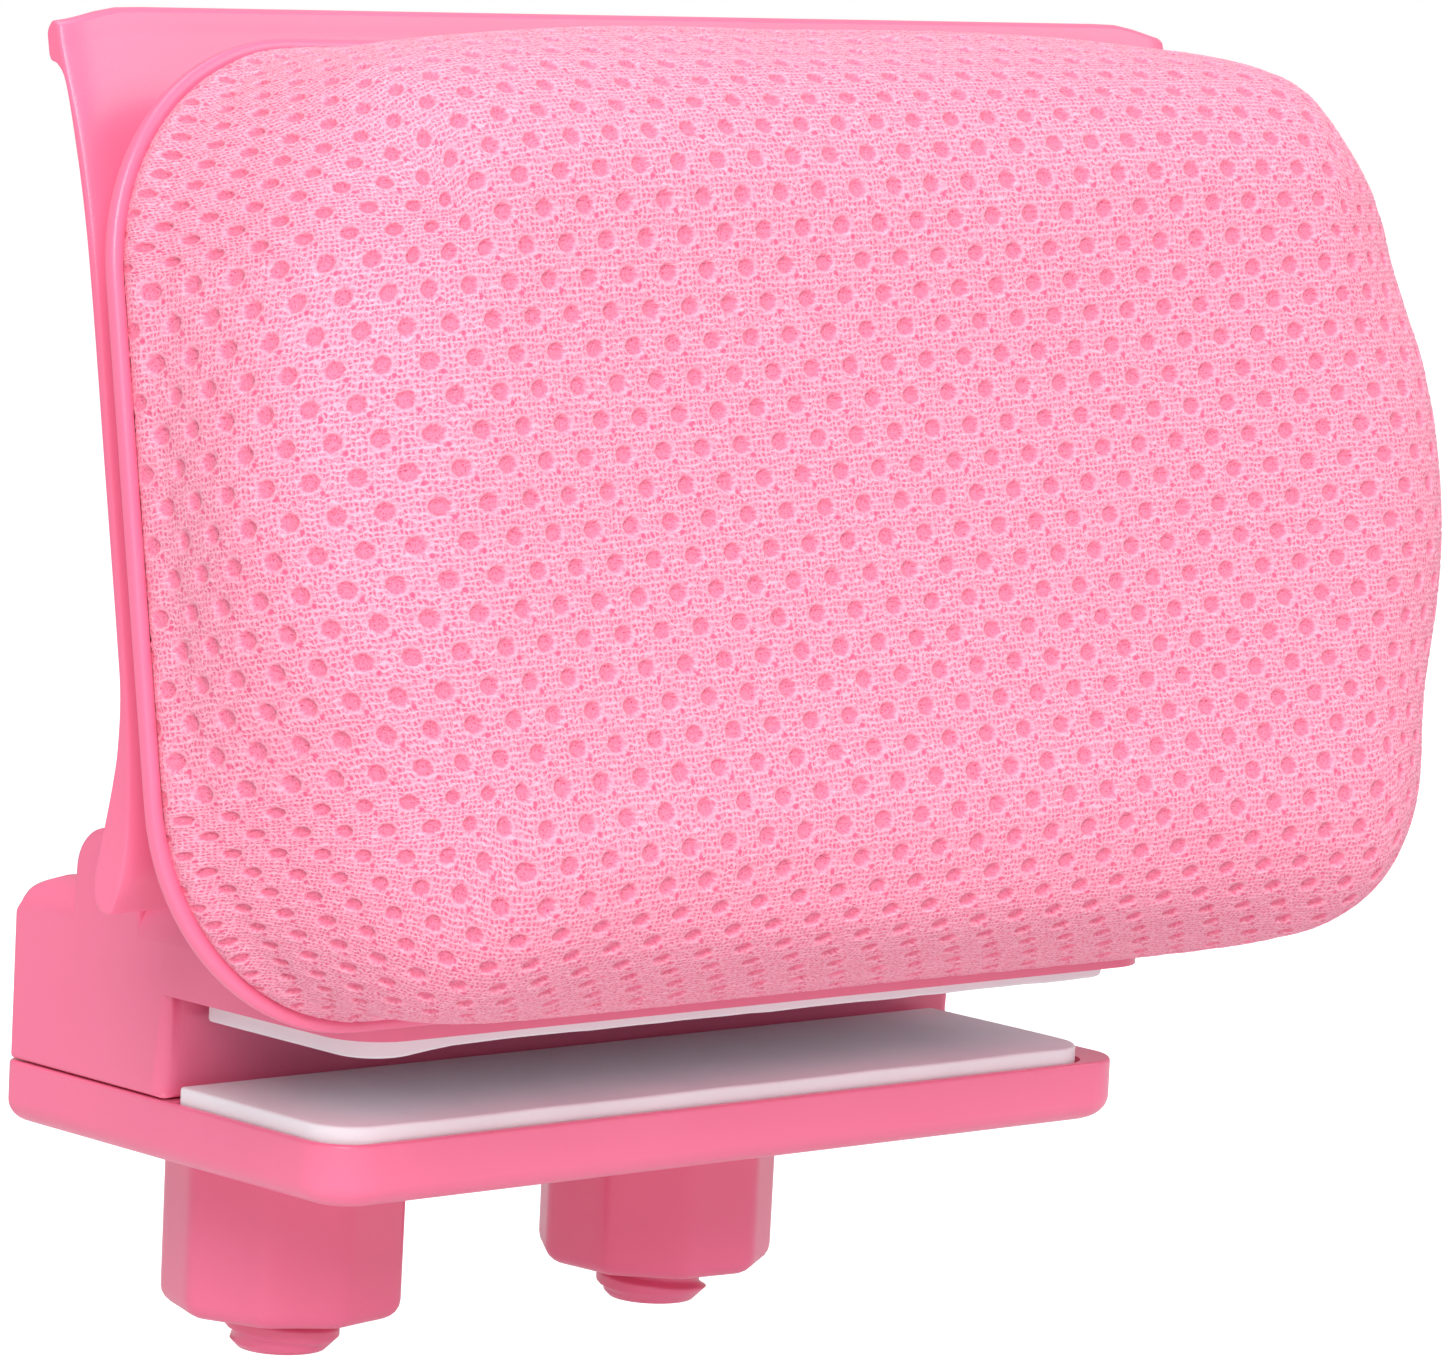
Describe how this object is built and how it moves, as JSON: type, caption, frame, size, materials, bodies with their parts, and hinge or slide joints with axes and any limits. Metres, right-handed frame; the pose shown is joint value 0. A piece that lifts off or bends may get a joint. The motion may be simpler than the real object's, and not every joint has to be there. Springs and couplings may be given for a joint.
{
  "type": "clip-on chair headrest",
  "caption": "Padded mesh headrest on a leaning back plate that tilts above a screw clamp, which grips the top edge of a chair back between foam pads.",
  "frame": {"origin": "middle of the throat face, where the edge of the chair back stops inside the clamp", "axes": "+X along the jaws, +Y from the mouth of the clamp to its closed back, +Z from the lower jaw to the upper jaw"},
  "size_m": [0.252, 0.1391, 0.2209],
  "materials": {
    "pink_plastic": "satin injection moulded plastic",
    "white_foam": "closed-cell foam strip",
    "mesh_fabric": "knitted spacer mesh with rows of oval holes",
    "core_foam": "open-cell foam",
    "board": "plywood board",
    "steel": "zinc plated",
    "brass": "turned",
    "nylon": "natural nylon"
  },
  "bodies": {
    "clamp": {"clamp_body": "pink_plastic", "upper_pad": "white_foam", "clamp_bolt_left": "pink_plastic", "clamp_bolt_right": "pink_plastic", "hinge_insert_left": "brass", "hinge_insert_right": "brass", "hinge_screw_left": "steel", "hinge_screw_right": "steel", "friction_washer_left": "nylon", "friction_washer_right": "nylon", "spring_washer_left": "steel", "spring_washer_right": "steel"},
    "jaw": {"lower_jaw": "pink_plastic", "lower_pad": "white_foam", "thrust_washer_left": "nylon", "thrust_washer_right": "nylon"},
    "left_knob": {"knob_left": "pink_plastic"},
    "right_knob": {"knob_right": "pink_plastic"},
    "headrest": {"back_plate": "pink_plastic", "cushion_shell": "pink_plastic", "cushion_board": "board", "foam_core": "core_foam", "mesh_cover": "mesh_fabric", "shell_screw_1": "steel", "shell_screw_2": "steel", "shell_screw_3": "steel", "shell_screw_4": "steel"}
  },
  "joints": [
    {"name": "headrest_tilt", "type": "hinge", "parent": "clamp", "child": "headrest", "pos_m": [0, 0.0175, 0.025], "axis": [-1, 0, 0], "range_deg": [0, 110]},
    {"name": "jaw_slide", "type": "slide", "parent": "clamp", "child": "jaw", "axis": [0, 0, -1], "range_m": [0, 0.02]},
    {"name": "left_knob_spin", "type": "hinge", "parent": "jaw", "child": "left_knob", "pos_m": [-0.0405, 0.024, -0.035], "axis": [0, 0, -1], "range_deg": [0, 1440]},
    {"name": "right_knob_spin", "type": "hinge", "parent": "jaw", "child": "right_knob", "pos_m": [0.0405, 0.024, -0.035], "axis": [0, 0, -1], "range_deg": [0, 1440]}
  ],
  "couplings": [
    {"joint": "left_knob_spin", "follows": "jaw_slide", "rad_per_m": 1256.6},
    {"joint": "right_knob_spin", "follows": "jaw_slide", "rad_per_m": 1256.6}
  ]
}
